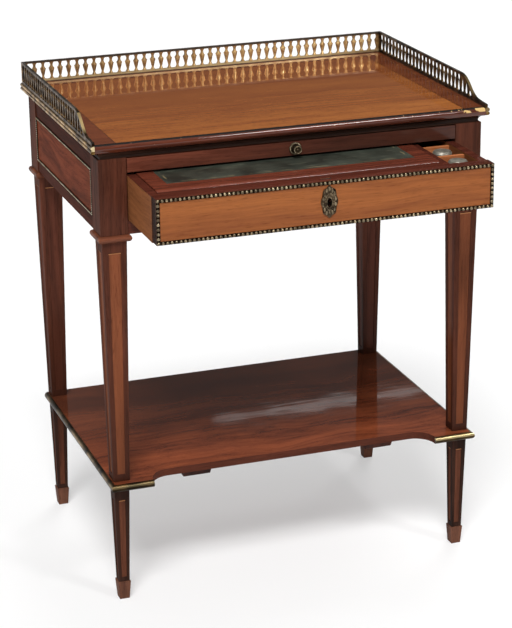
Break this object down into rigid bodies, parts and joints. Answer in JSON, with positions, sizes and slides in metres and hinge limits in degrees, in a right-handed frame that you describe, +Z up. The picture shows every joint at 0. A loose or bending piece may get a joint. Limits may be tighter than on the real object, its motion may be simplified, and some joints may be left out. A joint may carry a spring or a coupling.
{
  "type": "bonheur du jour",
  "caption": "Small mahogany writing table with a pierced brass gallery, pull-out writing slide, fitted frieze drawer with inkwells and a lower shelf on tapered legs.",
  "frame": {"origin": "centre of the table on the floor, midway between the four feet", "axes": "+X to the sitter's right as seen from the front, the front towards -Y, +Z up"},
  "size_m": [0.6512, 0.5883, 0.796],
  "materials": {
    "mahogany": "French-polished mahogany, dark red-brown",
    "mahogany_light": "faded figured mahogany veneer",
    "drawer_wood": "waxed drawer linings, lighter orange brown",
    "brass": "worn gilt brass",
    "steel": "old iron screws and lock work",
    "pewter": "polished pewter",
    "glass": "thick clear moulded glass",
    "red_ink": "red ink",
    "black_ink": "black ink",
    "leather": "dark green writing leather"
  },
  "bodies": {
    "table": {"top_board": "mahogany_light", "top_cove_frame": "mahogany", "top_brass_left": "brass", "top_brass_right": "brass", "top_screws": "steel", "gallery_back": "brass", "gallery_left": "brass", "gallery_right": "brass", "gallery_pins": "brass", "side_apron_left": "mahogany", "side_apron_right": "mahogany", "back_apron": "mahogany", "front_rail": "mahogany", "side_bead_left": "brass", "side_bead_right": "brass", "leg_front_left": "mahogany", "leg_front_right": "mahogany", "leg_back_left": "mahogany", "leg_back_right": "mahogany", "leg_collars": "mahogany", "lower_leg_front_left": "mahogany", "lower_leg_front_right": "mahogany", "lower_leg_back_left": "mahogany", "lower_leg_back_right": "mahogany", "leg_dowels": "drawer_wood", "shelf_board": "mahogany", "shelf_trim_left": "brass", "shelf_trim_right": "brass", "shelf_battens": "mahogany", "batten_screws": "steel", "drawer_runner_left": "drawer_wood", "drawer_runner_right": "drawer_wood", "slide_guide_left": "drawer_wood", "slide_guide_right": "drawer_wood"},
    "writing_slide": {"slide_board": "drawer_wood", "slide_front": "mahogany", "slide_knob": "brass"},
    "drawer": {"drawer_front": "mahogany_light", "drawer_side_left": "drawer_wood", "drawer_side_right": "drawer_wood", "drawer_back": "drawer_wood", "drawer_bottom": "drawer_wood", "drawer_ledge": "mahogany", "drawer_divider": "mahogany", "panel_bearers": "drawer_wood", "well_floor": "drawer_wood", "well_walls": "drawer_wood", "drawer_bead": "brass", "escutcheon": "brass", "lock_case": "steel"},
    "panel": {"writing_panel": "mahogany", "writing_leather": "leather"},
    "bolt": {"lock_bolt": "steel"},
    "front_inkwell": {"inkwell_front": "glass", "ink_front": "red_ink"},
    "front_cap": {"inkwell_cap_front": "pewter"},
    "rear_inkwell": {"inkwell_rear": "glass", "ink_rear": "black_ink"},
    "rear_cap": {"inkwell_cap_rear": "pewter"}
  },
  "joints": [
    {"name": "drawer_slide", "type": "slide", "parent": "table", "child": "drawer", "axis": [0, -1, 0], "range_m": [-0.1466, 0.1334]},
    {"name": "writing_slide_pull", "type": "slide", "parent": "table", "child": "writing_slide", "axis": [0, 1, 0], "range_m": [-0.24, 0]},
    {"name": "panel_slide", "type": "slide", "parent": "drawer", "child": "panel", "axis": [0, 1, 0], "range_m": [0, 0.09]},
    {"name": "bolt_throw", "type": "slide", "parent": "drawer", "child": "bolt", "axis": [0, 0, 1], "range_m": [0, 0.006]},
    {"name": "front_inkwell_lift", "type": "slide", "parent": "drawer", "child": "front_inkwell", "axis": [0, 0, 1], "range_m": [0, 0.06]},
    {"name": "front_cap_lift", "type": "slide", "parent": "front_inkwell", "child": "front_cap", "axis": [0, 0, 1], "range_m": [0, 0.03]},
    {"name": "rear_inkwell_lift", "type": "slide", "parent": "drawer", "child": "rear_inkwell", "axis": [0, 0, 1], "range_m": [0, 0.06]},
    {"name": "rear_cap_lift", "type": "slide", "parent": "rear_inkwell", "child": "rear_cap", "axis": [0, 0, 1], "range_m": [0, 0.03]}
  ]
}
